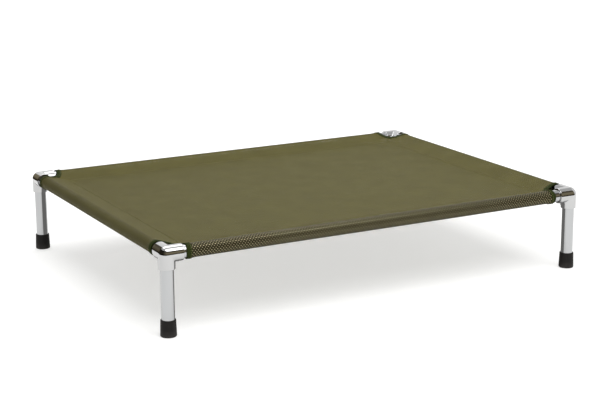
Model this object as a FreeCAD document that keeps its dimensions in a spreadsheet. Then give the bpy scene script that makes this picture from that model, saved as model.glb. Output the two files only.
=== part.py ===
import FreeCAD, Part
import math
import os

import Sketcher

# Raised dog bed: a mesh cover stretched over a rectangular frame of chromed steel tube.
# A three-way cast fitting at each corner takes two rails and one leg, held by grub screws.
# Each leg stands in a rubber ferrule. The cover's four edges are folded round the rails
# and sewn down, and its corners are cut out round the fittings and bound.
# Millimetres, +Z up, +X along the longer side, origin on the floor below the centre.

DIMENSIONS = (
    ("frame_length", 914.0, "between the axes of the left and right rails"),
    ("frame_width", 688.0, "between the axes of the front and back rails"),
    ("rail_height", 157.5, "from the floor to the rail axes"),
    ("tube_diameter", 25.4, "outside of every tube"),
    ("tube_wall", 1.5, "wall of every tube"),
    ("collar_diameter", 32.0, "outside of a fitting's sockets"),
    ("arm_reach", 30.0, "corner centre to the mouth of a rail socket"),
    ("leg_reach", 28.5, "corner centre to the mouth of the leg socket"),
    ("socket_stop", 14.0, "corner centre to the shoulder that a tube end meets"),
    ("socket_gap", 0.1, "radial gap between tube and socket"),
    ("core_diameter", 20.0, "passages behind the shoulders"),
    ("mouth_round", 1.0, "rounding of a socket's outer edge"),
    ("crotch_round", 2.0, "casting radius between the sockets"),
    ("screw_diameter", 5.0, "grub screw"),
    ("screw_length", 4.0, "grub screw"),
    ("screw_key", 2.5, "across the flats of its hexagon socket"),
    ("screw_key_depth", 2.0, "depth of its hexagon socket"),
    ("screw_gap", 0.05, "clearance round and under a grub screw"),
    ("screw_offset", 22.0, "corner centre to each grub screw"),
    ("ferrule_height", 32.5, "rubber foot"),
    ("ferrule_top", 29.3, "its diameter at the rim"),
    ("ferrule_bottom", 31.5, "its diameter above the bottom edge"),
    ("ferrule_base", 5.0, "rubber under the tube end"),
    ("ferrule_gap", 0.05, "radial gap between tube and rubber"),
    ("ferrule_edge", 2.5, "rounding of its bottom edge"),
    ("ferrule_rim", 0.8, "rounding of its rim"),
    ("tread_inner", 12.0, "inner diameter of the groove under the foot"),
    ("tread_outer", 20.0, "outer diameter of the groove"),
    ("tread_depth", 1.2, "depth of the groove"),
    ("cloth_thickness", 0.85, "mesh cloth"),
    ("cloth_gap", 0.1, "between rail and cloth"),
    ("seam_offset", 50.0, "rail axis to the seam that closes the sleeve"),
    ("seam_margin", 3.0, "sewn width behind the seam"),
    ("notch_radius", 42.0, "corner cut-out of the cover"),
    ("cover_shift", -4.0, "how far the cover has slid along the long rails"),
    ("binding_width", 9.0, "tape round the cut-outs"),
    ("binding_thickness", 0.6, "tape"),
    ("binding_gap", 0.05, "between cloth and tape"),
)

# The corners, counterclockwise seen from above: name, sign of X, sign of Y, turn about Z.
CORNERS = (
    ("front_left", -1, -1, 0),
    ("front_right", 1, -1, 90),
    ("back_right", 1, 1, 180),
    ("back_left", -1, 1, 270),
)
X_AXIS = FreeCAD.Vector(1, 0, 0)
Y_AXIS = FreeCAD.Vector(0, 1, 0)
Z_AXIS = FreeCAD.Vector(0, 0, 1)
INWARD = FreeCAD.Vector(1, 1, 0)  # from a corner towards the middle of the bed, before its turn

doc = FreeCAD.newDocument("RaisedDogBed")
dims = doc.addObject("Spreadsheet::Sheet", "Dims")
for row, (alias, size, meaning) in enumerate(DIMENSIONS, start=1):
    dims.set(f"A{row}", alias)
    dims.set(f"B{row}", str(size))
    dims.setAlias(f"B{row}", alias)
    dims.set(f"C{row}", meaning)
doc.recompute()

sub_parts = []


def value(expression):
    """The present value of an expression on the sheet, as a plain number."""
    result = dims.evalExpression(expression)
    return float(getattr(result, "Value", result))


def bind(thing, **expressions):
    """Bind properties to the sheet; a double underscore in a name stands for a dot."""
    for name, expression in expressions.items():
        thing.setExpression(name.replace("__", "."), expression)


def place(thing, x="0", y="0", z="0", turn=0):
    """Stand an object at a place bound to the sheet, turned about Z by a fixed angle."""
    thing.Placement = FreeCAD.Placement(FreeCAD.Vector(), FreeCAD.Rotation(Z_AXIS, turn))
    bind(thing, Placement__Base__x=x, Placement__Base__y=y, Placement__Base__z=z)


def at_corner(thing, sign_x, sign_y, turn):
    """Stand an object on a corner's centre, its two arms along the rails."""
    place(thing, f"{sign_x} * Dims.frame_length / 2", f"{sign_y} * Dims.frame_width / 2",
          "Dims.rail_height", turn)


def new_body(name):
    body = doc.addObject("PartDesign::Body", name)
    body.Label = name
    return body


def sub_part(thing, name):
    """Count a finished object as one of the bed's pieces."""
    thing.Label = name
    sub_parts.append(thing)


def new_sketch(body, plane, name, lift="0"):
    """An empty sketch on one of the body's origin planes, lifted along the plane's normal."""
    sketch = body.newObject("Sketcher::SketchObject", name)
    support = next(part for part in body.Origin.OriginFeatures if part.Role == plane)
    sketch.AttachmentSupport = [(support, "")]
    sketch.MapMode = "FlatFace"
    sketch.setExpression("AttachmentOffset.Base.z", lift)
    return sketch


def add_size(sketch, kind, *points, expression):
    """Add a constraint whose size comes from the sheet."""
    index = sketch.addConstraint(Sketcher.Constraint(kind, *points, value(expression)))
    sketch.setExpression(f"Constraints[{index}]", expression)


def add_circle(sketch, diameter):
    circle = sketch.addGeometry(Part.Circle(FreeCAD.Vector(), Z_AXIS, value(diameter) / 2))
    sketch.addConstraint(Sketcher.Constraint("Coincident", circle, 3, -1, 1))
    add_size(sketch, "Diameter", circle, expression=diameter)


def add_polygon(sketch, corners):
    """A closed outline whose corners are pairs of sheet expressions."""
    points = [FreeCAD.Vector(value(x), value(y), 0) for x, y in corners]
    first = sketch.GeometryCount
    for start, end in zip(points, points[1:] + points[:1]):
        sketch.addGeometry(Part.LineSegment(start, end))
    for index, (x, y) in enumerate(corners):
        following = first + (index + 1) % len(corners)
        sketch.addConstraint(Sketcher.Constraint("Coincident", first + index, 2, following, 1))
        add_size(sketch, "DistanceX", -1, 1, first + index, 1, expression=x)
        add_size(sketch, "DistanceY", -1, 1, first + index, 1, expression=y)


def add_drop_outline(sketch, radius, reach, half_tip=None):
    """A drop round the rail: an arc closed by two lines tangent to it, sharp or blunt at the seam."""
    size, tip, half = value(radius), value(reach), value(half_tip or "0")
    toward_tip = FreeCAD.Vector(tip, half, 0)
    opening = math.atan2(half, tip) + math.acos(size / toward_tip.Length)
    circle = Part.Circle(FreeCAD.Vector(), Z_AXIS, size)
    arc = sketch.addGeometry(Part.ArcOfCircle(circle, opening, 2 * math.pi - opening))
    low_tip = FreeCAD.Vector(tip, -half, 0)
    top = sketch.addGeometry(Part.LineSegment(circle.value(opening), toward_tip))
    bottom = sketch.addGeometry(Part.LineSegment(low_tip, circle.value(-opening)))
    sketch.addConstraint(Sketcher.Constraint("Coincident", arc, 3, -1, 1))
    sketch.addConstraint(Sketcher.Constraint("Tangent", arc, 1, top, 1))
    sketch.addConstraint(Sketcher.Constraint("Tangent", bottom, 2, arc, 2))
    add_size(sketch, "Radius", arc, expression=radius)
    add_size(sketch, "DistanceX", -1, 1, top, 2, expression=reach)
    if half_tip is None:
        sketch.addConstraint(Sketcher.Constraint("Coincident", top, 2, bottom, 1))
        sketch.addConstraint(Sketcher.Constraint("PointOnObject", top, 2, -1))
        return
    blunt = sketch.addGeometry(Part.LineSegment(toward_tip, low_tip))
    sketch.addConstraint(Sketcher.Constraint("Coincident", top, 2, blunt, 1))
    sketch.addConstraint(Sketcher.Constraint("Coincident", blunt, 2, bottom, 1))
    add_size(sketch, "DistanceX", -1, 1, bottom, 1, expression=reach)
    add_size(sketch, "DistanceY", -1, 1, top, 2, expression=half_tip)
    add_size(sketch, "DistanceY", bottom, 1, -1, 1, expression=half_tip)


def extrude(body, kind, sketch, length, backwards=False):
    """Pad or pocket a sketch; check that it changed the solid."""
    doc.recompute()
    before = body.Shape.Volume if body.Tip and not body.Shape.isNull() else 0
    feature = body.newObject(f"PartDesign::{kind}", f"{kind}{sketch.Name}")
    feature.Profile = sketch
    feature.Reversed = backwards
    bind(feature, Length=length)
    doc.recompute()
    assert abs(body.Shape.Volume - before) > 1, f"{body.Label}: {feature.Name} changed nothing"
    return feature


def circle_edges(body, wanted):
    """Names of the circular edges that a test on the curve accepts."""
    names = []
    for number, edge in enumerate(body.Shape.Edges, start=1):
        if edge.Degenerated or not edge.Closed:
            continue
        if isinstance(edge.Curve, Part.Circle) and wanted(edge.Curve):
            names.append(f"Edge{number}")
    assert names, f"{body.Label}: no edge to round"
    return names


def round_edges(body, name, edges, radius):
    base = body.Tip
    fillet = body.newObject("PartDesign::Fillet", name)
    fillet.Base = (base, edges)
    bind(fillet, Radius=radius)
    doc.recompute()


# --- Frame -------------------------------------------------------------------------------

def tube(name, plane, length, **position):
    """Chromed steel tube, cut square."""
    body = new_body(name)
    sketch = new_sketch(body, plane, f"{name}_section")
    add_circle(sketch, "Dims.tube_diameter")
    add_circle(sketch, "Dims.tube_diameter - 2 * Dims.tube_wall")
    extrude(body, "Pad", sketch, length)
    place(body, **position)
    sub_part(body, name)


def rails():
    """Four rails, each ending on the shoulders inside two fittings."""
    for side, sign in (("front", -1), ("back", 1)):
        tube(f"rail_tube_{side}", "YZ_Plane", "Dims.frame_length - 2 * Dims.socket_stop",
             x="Dims.socket_stop - Dims.frame_length / 2",
             y=f"{sign} * Dims.frame_width / 2", z="Dims.rail_height")
    for side, sign in (("left", -1), ("right", 1)):
        tube(f"rail_tube_{side}", "XZ_Plane", "Dims.frame_width - 2 * Dims.socket_stop",
             x=f"{sign} * Dims.frame_length / 2",
             y="Dims.frame_width / 2 - Dims.socket_stop", z="Dims.rail_height")


def legs():
    """Four legs, from the base of the rubber foot up to the shoulder in the fitting."""
    for corner, sign_x, sign_y, _ in CORNERS:
        tube(f"leg_tube_{corner}", "XY_Plane",
             "Dims.rail_height - Dims.socket_stop - Dims.ferrule_base",
             x=f"{sign_x} * Dims.frame_length / 2", y=f"{sign_y} * Dims.frame_width / 2",
             z="Dims.ferrule_base")


def screw_axes():
    """Foot and outward direction of a fitting's three grub screws, from the corner's centre."""
    offset = value("Dims.screw_offset")
    return ((X_AXIS * offset, -Z_AXIS), (Y_AXIS * offset, -Z_AXIS), (-Z_AXIS * offset, INWARD))


def corner_fitting(name):
    """Zinc casting: three sockets that meet in a ball, chromed and polished."""
    body = new_body(name)
    arms = (("YZ_Plane", False, "Dims.arm_reach"), ("XZ_Plane", True, "Dims.arm_reach"),
            ("XY_Plane", True, "Dims.leg_reach"))
    for plane, backwards, reach in arms:
        outside = new_sketch(body, plane, f"{name}_outside_{plane}")
        add_circle(outside, "Dims.collar_diameter")
        extrude(body, "Pad", outside, reach, backwards)
    ball = body.newObject("PartDesign::AdditiveSphere", f"{name}_ball")
    bind(ball, Radius="Dims.collar_diameter / 2")
    doc.recompute()
    crotches = [f"Edge{number}" for number, edge in enumerate(body.Shape.Edges, start=1)
                if not edge.Degenerated and isinstance(edge.Curve, Part.Ellipse)]
    round_edges(body, f"{name}_crotches", crotches, "Dims.crotch_round")
    round_edges(body, f"{name}_mouths", circle_edges(body, lambda curve: curve.Center.Length > 1),
                "Dims.mouth_round")
    for plane, backwards, reach in arms:
        passage = new_sketch(body, plane, f"{name}_passage_{plane}")
        add_circle(passage, "Dims.core_diameter")
        extrude(body, "Pocket", passage, reach, not backwards)
    for plane, backwards, reach in arms:
        lift = "-Dims.socket_stop" if backwards else "Dims.socket_stop"
        socket = new_sketch(body, plane, f"{name}_socket_{plane}", lift)
        add_circle(socket, "Dims.tube_diameter + 2 * Dims.socket_gap")
        extrude(body, "Pocket", socket, reach, not backwards)
    for number, (foot, outward) in enumerate(screw_axes(), start=1):
        hole = body.newObject("PartDesign::SubtractiveCylinder", f"{name}_screw_hole_{number}")
        bind(hole, Radius="Dims.screw_diameter / 2 + Dims.screw_gap", Height="Dims.collar_diameter")
        hole.Placement = FreeCAD.Placement(foot, FreeCAD.Rotation(Z_AXIS, outward))
    doc.recompute()
    return body


def grub_screws(corner):
    """Three hexagon-socket grub screws that bear on the tubes of one corner."""
    screws = []
    for number, (foot, outward) in enumerate(screw_axes(), start=1):
        name = f"screw_{corner}_{number}"
        shank = doc.addObject("Part::Cylinder", f"{name}_shank")
        bind(shank, Radius="Dims.screw_diameter / 2", Height="Dims.screw_length")
        key = doc.addObject("Part::Prism", f"{name}_key")
        bind(key, Circumradius="Dims.screw_key / sqrt(3)", Height="Dims.screw_key_depth",
             Placement__Base__z="Dims.screw_length - Dims.screw_key_depth")
        screw = doc.addObject("Part::Cut", name)
        screw.Base = shank
        screw.Tool = key
        tip = value("Dims.tube_diameter / 2 + Dims.screw_gap")
        direction = FreeCAD.Vector(outward).normalize()
        screw.Placement = FreeCAD.Placement(foot + direction * tip, FreeCAD.Rotation(Z_AXIS, outward))
        screws.append(screw)
    group = doc.addObject("Part::Compound", f"grub_screws_{corner}")
    group.Links = screws
    return group


def rubber_foot(name):
    """Moulded rubber ferrule, slightly wider at the floor, with a groove under it."""
    body = new_body(name)
    section = new_sketch(body, "XZ_Plane", f"{name}_section")
    bore = "Dims.tube_diameter / 2 + Dims.ferrule_gap"
    add_polygon(section, (
        ("0", "0"),
        ("Dims.tread_inner / 2", "0"),
        ("Dims.tread_inner / 2", "Dims.tread_depth"),
        ("Dims.tread_outer / 2", "Dims.tread_depth"),
        ("Dims.tread_outer / 2", "0"),
        ("Dims.ferrule_bottom / 2", "0"),
        ("Dims.ferrule_top / 2", "Dims.ferrule_height"),
        (bore, "Dims.ferrule_height"),
        (bore, "Dims.ferrule_base"),
        ("0", "Dims.ferrule_base"),
    ))
    turned = body.newObject("PartDesign::Revolution", f"{name}_turned")
    turned.Profile = section
    turned.ReferenceAxis = (section, ["V_Axis"])
    turned.Angle = 360
    doc.recompute()
    outer_radius = value("Dims.ferrule_top / 2")
    height = value("Dims.ferrule_height")
    low = circle_edges(body, lambda curve: curve.Center.z < 0.1 and curve.Radius > outer_radius)
    round_edges(body, f"{name}_bottom_edge", low, "Dims.ferrule_edge")
    high = circle_edges(body, lambda curve: abs(curve.Center.z - height) < 0.1
                        and abs(curve.Radius - outer_radius) < 0.1)
    round_edges(body, f"{name}_rim", high, "Dims.ferrule_rim")
    return body


def corners():
    """At each corner: the casting, its screws and the foot below it."""
    for corner, sign_x, sign_y, turn in CORNERS:
        fitting = corner_fitting(f"corner_fitting_{corner}")
        at_corner(fitting, sign_x, sign_y, turn)
        sub_part(fitting, f"corner_fitting_{corner}")
        screws = grub_screws(corner)
        at_corner(screws, sign_x, sign_y, turn)
        sub_part(screws, f"grub_screws_{corner}")
        foot = rubber_foot(f"foot_ferrule_{corner}")
        place(foot, f"{sign_x} * Dims.frame_length / 2", f"{sign_y} * Dims.frame_width / 2")
        sub_part(foot, f"foot_ferrule_{corner}")


# --- Cover -------------------------------------------------------------------------------

# Each side of the cover: name, its length between corner centres, turn about Z, its place.
SIDES = (
    ("front", "Dims.frame_length", 0, "0", "-Dims.frame_width / 2"),
    ("right", "Dims.frame_width", 90, "Dims.frame_length / 2", "0"),
    ("back", "Dims.frame_length", 180, "0", "Dims.frame_width / 2"),
    ("left", "Dims.frame_width", 270, "-Dims.frame_length / 2", "0"),
)
# Where the cover's slide along the long rails takes a cut-out, in the axes of a turned piece.
SLIDE = {
    0: ("Dims.cover_shift", "0"),
    90: ("0", "-Dims.cover_shift"),
    180: ("-Dims.cover_shift", "0"),
    270: ("0", "Dims.cover_shift"),
}
CLOTH_INSIDE = "Dims.tube_diameter / 2 + Dims.cloth_gap"
CLOTH_OUTSIDE = f"{CLOTH_INSIDE} + Dims.cloth_thickness"
TAPE_INSIDE = f"{CLOTH_OUTSIDE} + Dims.binding_gap"
TAPE_OUTSIDE = f"{TAPE_INSIDE} + Dims.binding_thickness"


def mitre(body, corner_x, angle):
    """Cut a side off at 45 degrees where the next side begins."""
    wedge = body.newObject("PartDesign::SubtractiveBox", f"{body.Name}_mitre")
    wedge.Placement = FreeCAD.Placement(FreeCAD.Vector(), FreeCAD.Rotation(Z_AXIS, angle))
    size = "4 * Dims.seam_offset"
    bind(wedge, Length=size, Width=size, Height=size, Placement__Base__x=corner_x,
         Placement__Base__z="-2 * Dims.seam_offset")


def cover_sleeve(side, length, turn, x, y):
    """Edge of the mesh folded round a rail and sewn to itself at the seam."""
    name = f"cover_sleeve_{side}"
    body = new_body(name)
    section = new_sketch(body, "YZ_Plane", f"{name}_section",
                         f"Dims.notch_radius / 2 - {length} / 2")
    add_drop_outline(section, CLOTH_OUTSIDE, "Dims.seam_offset", "Dims.cloth_thickness")
    add_drop_outline(section, CLOTH_INSIDE, "Dims.seam_offset - Dims.seam_margin")
    extrude(body, "Pad", section, f"{length} - Dims.notch_radius")
    along, across = SLIDE[turn]
    for corner_x in (f"-{length} / 2", f"{length} / 2"):
        notch = body.newObject("PartDesign::SubtractiveCylinder", f"{name}_notch")
        bind(notch, Radius="Dims.notch_radius", Height="4 * Dims.seam_offset",
             Placement__Base__x=f"{corner_x} + {along}", Placement__Base__y=across,
             Placement__Base__z="-2 * Dims.seam_offset")
        mitre(body, corner_x, 45)
    doc.recompute()
    place(body, x, y, "Dims.rail_height", turn)
    sub_part(body, name)


def tape_loop(name, plane, backwards, mitre_angle):
    """Tape all round one sleeve near its end, mitred to meet the loop on the other rail."""
    body = new_body(name)
    start = "-Dims.notch_radius / 2" if backwards else "Dims.notch_radius / 2"
    section = new_sketch(body, plane, f"{name}_section", start)
    add_drop_outline(section, TAPE_OUTSIDE, "Dims.seam_offset + Dims.binding_thickness",
                     "Dims.cloth_thickness + Dims.binding_gap + Dims.binding_thickness")
    add_drop_outline(section, TAPE_INSIDE, "Dims.seam_offset",
                     "Dims.cloth_thickness + Dims.binding_gap")
    extrude(body, "Pad", section, "Dims.notch_radius", backwards)
    mitre(body, "0", mitre_angle)
    doc.recompute()
    return body


def cover_binding(corner, sign_x, sign_y, turn):
    """Woven tape sewn round the raw edge of a corner cut-out."""
    name = f"cover_binding_{corner}"
    loops = doc.addObject("Part::MultiFuse", f"{name}_loops")
    loops.Shapes = [tape_loop(f"{name}_x_loop", "YZ_Plane", False, 45),
                    tape_loop(f"{name}_y_loop", "XZ_Plane", True, -45)]
    discs = []
    slide_x, slide_y = SLIDE[turn]
    for edge, radius in (("outer", "Dims.notch_radius + Dims.binding_width"),
                         ("inner", "Dims.notch_radius")):
        disc = doc.addObject("Part::Cylinder", f"{name}_{edge}")
        bind(disc, Radius=radius, Height="2 * Dims.seam_offset", Placement__Base__x=slide_x,
             Placement__Base__y=slide_y, Placement__Base__z="-Dims.seam_offset")
        discs.append(disc)
    ring = doc.addObject("Part::Cut", f"{name}_ring")
    ring.Base, ring.Tool = discs
    tape = doc.addObject("Part::Common", name)
    tape.Base, tape.Tool = loops, ring
    at_corner(tape, sign_x, sign_y, turn)
    sub_part(tape, name)


def cover_panel():
    """The single layer of mesh between the four seams, at the height of the rail axes."""
    name = "cover_panel"
    panel = doc.addObject("Part::Box", name)
    bind(panel, Length="Dims.frame_length - 2 * Dims.seam_offset",
         Width="Dims.frame_width - 2 * Dims.seam_offset", Height="Dims.cloth_thickness")
    place(panel, "Dims.seam_offset - Dims.frame_length / 2", "Dims.seam_offset - Dims.frame_width / 2",
          "Dims.rail_height - Dims.cloth_thickness / 2")
    sub_part(panel, name)


rails()
legs()
corners()
for details in SIDES:
    cover_sleeve(*details)
cover_panel()
for details in CORNERS:
    cover_binding(*details)
doc.recompute()

for thing in doc.Objects:
    assert not {"Invalid", "Error"} & set(thing.State), f"{thing.Label} failed: {thing.State}"
for piece in sub_parts:
    assert not piece.Shape.isNull() and piece.Shape.isValid(), f"{piece.Label} has no valid shape"

os.makedirs("parts", exist_ok=True)
for piece in sub_parts:
    piece.Shape.exportStep(f"parts/{piece.Label}.step")
    print(f"{piece.Label}: {len(piece.Shape.Solids)} solid, {piece.Shape.Volume / 1000:.1f} cm3")
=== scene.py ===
import math

import bmesh
import bpy
from mathutils import Matrix, Vector, noise


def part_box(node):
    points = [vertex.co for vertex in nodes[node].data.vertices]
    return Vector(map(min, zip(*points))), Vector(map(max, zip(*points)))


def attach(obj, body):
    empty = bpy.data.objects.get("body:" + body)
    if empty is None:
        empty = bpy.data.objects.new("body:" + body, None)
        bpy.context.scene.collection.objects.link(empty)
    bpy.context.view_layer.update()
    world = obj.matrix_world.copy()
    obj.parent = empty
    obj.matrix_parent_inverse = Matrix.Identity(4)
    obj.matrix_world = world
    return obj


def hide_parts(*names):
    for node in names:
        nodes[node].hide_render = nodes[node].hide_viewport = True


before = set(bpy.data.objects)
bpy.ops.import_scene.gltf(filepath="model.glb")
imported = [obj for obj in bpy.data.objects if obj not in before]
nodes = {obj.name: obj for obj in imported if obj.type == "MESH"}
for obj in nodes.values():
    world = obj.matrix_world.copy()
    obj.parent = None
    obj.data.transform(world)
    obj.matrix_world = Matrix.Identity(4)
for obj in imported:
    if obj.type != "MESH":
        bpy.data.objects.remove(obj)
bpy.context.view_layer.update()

# Raised dog bed: a mesh cover stretched over a rectangular frame of chromed steel tube.
# Metres, +Z up, +X along the longer side, origin on the floor below the centre.


# ---- Rails and legs ---------------------------------------------------------------------
# Four rails and four legs of one inch round steel tube, polished, nickelled and chromed.
# Each is pushed into the sockets of the corner fittings; the shapes are the CAD nodes.
bpy.ops.object.select_all(action="DESELECT")
MM = 0.001
CORNERS = ("front_left", "front_right", "back_right", "back_left")
CORNER_SIGNS = ((-1, -1), (1, -1), (1, 1), (-1, 1))    # of x and y, in the same order
SIDES = ("front", "right", "back", "left")
FILM_PATCH = 28 * MM                          # width of a patch in the film of handling marks
POLISH_WAVE = 6 * MM                          # width of the unevenness that polishing leaves


def linear(hex_colour):
    """An sRGB hex colour as the linear RGBA that shader sockets take."""
    parts = [int(hex_colour[i:i + 2], 16) / 255 for i in (1, 3, 5)]
    return [p / 12.92 if p <= 0.04045 else ((p + 0.055) / 1.055) ** 2.4 for p in parts] + [1.0]


def new_material(name, colour, **settings):
    """A material with one Principled shader; returns it, its node tree and the shader."""
    material = bpy.data.materials.new(name)
    material.use_nodes = True
    shader = material.node_tree.nodes["Principled BSDF"]
    shader.inputs["Base Color"].default_value = linear(colour)
    for socket, number in settings.items():
        shader.inputs[socket.replace("_", " ")].default_value = number
    return material, material.node_tree, shader


def add_node(tree, kind, settings=None, links=None):
    """Add a shader node, set its properties and input values, and link its inputs."""
    made = tree.nodes.new("ShaderNode" + kind)
    for key, number in (settings or {}).items():
        if isinstance(key, str) and hasattr(made, key):
            setattr(made, key, number)
        else:
            made.inputs[key].default_value = number
    for key, socket in (links or {}).items():
        tree.links.new(socket, made.inputs[key])
    return made


# Bright chromium plate on drawn and polished tube: mirror-like, very slightly uneven, with
# a film of handling marks that softens the reflections in places.
chrome_tube, tree, shader = new_material("chrome_plated_tube", "#B0B1B2", Metallic=1.0)
place = add_node(tree, "TexCoord").outputs["Object"]
film = add_node(tree, "TexNoise", {"Scale": 1 / FILM_PATCH, "Detail": 4.0}, {"Vector": place})
cloud = add_node(tree, "MapRange", {"From Min": 0.35, "From Max": 0.75, "To Min": 0.03,
                                    "To Max": 0.08}, {"Value": film.outputs["Fac"]})
tree.links.new(cloud.outputs["Result"], shader.inputs["Roughness"])
polish = add_node(tree, "TexNoise", {"Scale": 1 / POLISH_WAVE, "Detail": 3.0}, {"Vector": place})
peel = add_node(tree, "Bump", {"Strength": 0.05, "Distance": 0.1 * MM},
                {"Height": polish.outputs["Fac"]})
tree.links.new(peel.outputs["Normal"], shader.inputs["Normal"])
for name in [f"rail_tube_{side}" for side in SIDES] + [f"leg_tube_{corner}" for corner in CORNERS]:
    nodes[name].data.materials[0] = chrome_tube


# ---- Corner fittings --------------------------------------------------------------------
# Three-way elbows of die-cast zinc, tumbled and chromed, with a socket for two rails and
# a leg. The shapes are the CAD nodes; the plate follows the slightly wavy cast skin, which
# makes the edges of its reflections waver where those of the drawn tube are straight.
CAST_WAVE = 11 * MM                           # width of the waves in the cast skin
chrome_cast, tree, shader = new_material("chrome_plated_zinc_casting", "#B7B7B7", Metallic=1.0)
place = add_node(tree, "TexCoord").outputs["Object"]
skin = add_node(tree, "TexNoise", {"Scale": 1 / CAST_WAVE, "Detail": 3.0}, {"Vector": place})
cloud = add_node(tree, "MapRange", {"From Min": 0.3, "From Max": 0.75, "To Min": 0.03,
                                    "To Max": 0.09}, {"Value": skin.outputs["Fac"]})
tree.links.new(cloud.outputs["Result"], shader.inputs["Roughness"])
waves = add_node(tree, "Bump", {"Strength": 0.12, "Distance": 0.3 * MM},
                 {"Height": skin.outputs["Fac"]})
tree.links.new(waves.outputs["Normal"], shader.inputs["Normal"])
for corner in CORNERS:
    nodes[f"corner_fitting_{corner}"].data.materials[0] = chrome_cast


# ---- Grub screws ------------------------------------------------------------------------
# Blackened steel set screws with a hexagon socket, turned flush into the fittings. The
# shapes are the CAD nodes; handling has worn the oxide to a satin grey with turning marks.
TURNING_MARK = 0.5 * MM                       # distance between turning marks
screw_steel, tree, shader = new_material("blackened_turned_steel", "#959597", Metallic=1.0)
place = add_node(tree, "TexCoord").outputs["Object"]
turned = add_node(tree, "TexNoise", {"Scale": 1 / TURNING_MARK, "Detail": 4.0}, {"Vector": place})
satin = add_node(tree, "MapRange", {"To Min": 0.25, "To Max": 0.5}, {"Value": turned.outputs["Fac"]})
tree.links.new(satin.outputs["Result"], shader.inputs["Roughness"])
marks = add_node(tree, "Bump", {"Strength": 0.3, "Distance": 0.05 * MM},
                 {"Height": turned.outputs["Fac"]})
tree.links.new(marks.outputs["Normal"], shader.inputs["Normal"])
for corner in CORNERS:
    nodes[f"grub_screws_{corner}"].data.materials[0] = screw_steel


# ---- Rubber feet ------------------------------------------------------------------------
# Ferrules of moulded black rubber pushed over the leg ends, tapered, with a tread groove.
# Moulded rubber is matt, a little mottled, and greyer with dust near the floor.
RUBBER_GRAIN, RUBBER_PATCH = 0.8 * MM, 9 * MM  # width of the grain and of the mottling
DUST_HEIGHT = 14 * MM                         # above the floor, where the dust ends
rubber, tree, shader = new_material("moulded_black_rubber", "#151313", Specular_IOR_Level=0.2)
place = add_node(tree, "TexCoord").outputs["Object"]
height = add_node(tree, "SeparateXYZ", links={"Vector": place}).outputs["Z"]
grain = add_node(tree, "TexNoise", {"Scale": 1 / RUBBER_GRAIN, "Detail": 3.0}, {"Vector": place})
patches = add_node(tree, "TexNoise", {"Scale": 1 / RUBBER_PATCH, "Detail": 4.0}, {"Vector": place})
dusty = add_node(tree, "MapRange", {"From Min": 0.0, "From Max": DUST_HEIGHT, "To Min": 0.5,
                                    "To Max": 0.08}, {"Value": height})
dust = add_node(tree, "Math", {"operation": "MULTIPLY"},
                {0: dusty.outputs["Result"], 1: patches.outputs["Fac"]})
tone = add_node(tree, "ValToRGB", links={"Fac": dust.outputs["Value"]})
tone.color_ramp.elements[0].color = linear("#0C0A0A")
tone.color_ramp.elements[1].color = linear("#5A5652")
tree.links.new(tone.outputs["Color"], shader.inputs["Base Color"])
matt = add_node(tree, "MapRange", {"To Min": 0.48, "To Max": 0.68}, {"Value": patches.outputs["Fac"]})
tree.links.new(matt.outputs["Result"], shader.inputs["Roughness"])
bump = add_node(tree, "Bump", {"Strength": 0.25, "Distance": 0.08 * MM},
                {"Height": grain.outputs["Fac"]})
tree.links.new(bump.outputs["Normal"], shader.inputs["Normal"])
for corner in CORNERS:
    nodes[f"foot_ferrule_{corner}"].data.materials[0] = rubber


# ---- Cover ------------------------------------------------------------------------------
# One piece of mesh cloth woven from PVC coated polyester yarn. Each edge is folded round
# its rail and sewn down on the underside, which leaves a drop-shaped sleeve that slopes
# from the rail to the seam. Quarter circles are cut out of the corners for the fittings.
rail_low, rail_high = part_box("rail_tube_front")
FRONT = (rail_low.y + rail_high.y) / 2
RAIL_Z = (rail_low.z + rail_high.z) / 2
RAIL_RADIUS = (rail_high.z - rail_low.z) / 2
side_low, side_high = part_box("rail_tube_left")
LEFT = (side_low.x + side_high.x) / 2
LENGTH, WIDTH = -2 * LEFT, -2 * FRONT        # rail axis to rail axis
CLOTH = 0.85 * MM                            # thickness
WRAP = RAIL_RADIUS + 0.1 * MM + CLOTH / 2    # radius of the cloth's middle round a rail
SEAM = 50 * MM                               # rail axis to the seam
HEM = 3 * MM                                 # what lies behind the seam on the underside
CUT = 42 * MM                                # radius of a corner cut-out
SLID = 4 * MM                                # the cover has slid this far to the left
VALLEY = 9 * MM                              # width of the soft fold at a corner's diagonal
SAG = 1.3 * MM                               # in the middle of the panel
TAPE_WIDTH = 9 * MM                          # binding on each face of the cloth
FLARE = 0.7 * MM                             # room for the binding inside a sleeve's mouth
FLARE_REACH = 12 * MM                        # how far past the binding that room tapers off
GROOVE_DEEP, GROOVE_WIDE = 0.06 * MM, 2.2 * MM    # the stitches draw the seam in
PULL_LONG, PULL_WIDE, PULL_HIGH = 11 * MM, 9 * MM, 0.45 * MM    # pulls beside the seams
PULL_LINE = 3.0                              # the line of the noise that they follow
PUCKERS_PER_RADIAN, PUCKER_WIDE, PUCKER_HIGH = 5.5, 16 * MM, 1.7 * MM    # round a cut-out
WAVE_LONG, WAVE_HIGH = 90 * MM, 0.35 * MM    # soft waves all over
DRAWN_FLAT = 12 * MM                         # beside a rail, where nothing ripples
GAP = 0.05 * MM                              # between two layers of cloth or tape
CLOSE_FROM, CLOSE_OVER = 0.6 * SEAM, 0.4 * SEAM      # where the lower layer nears the upper
FOLLOW_FROM, FOLLOW_OVER = 0.8 * SEAM, 0.2 * SEAM    # and where it takes the upper one's shape
TOUCH = WRAP ** 2 / SEAM                     # where the slope leaves the curve over a rail
SLOPE = math.sqrt(WRAP ** 2 - TOUCH ** 2) / (SEAM - TOUCH)


def smooth_step(number):
    """A rise from 0 to 1 with no kink at either end."""
    number = min(max(number, 0.0), 1.0)
    return number * number * (3 - 2 * number)


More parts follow.
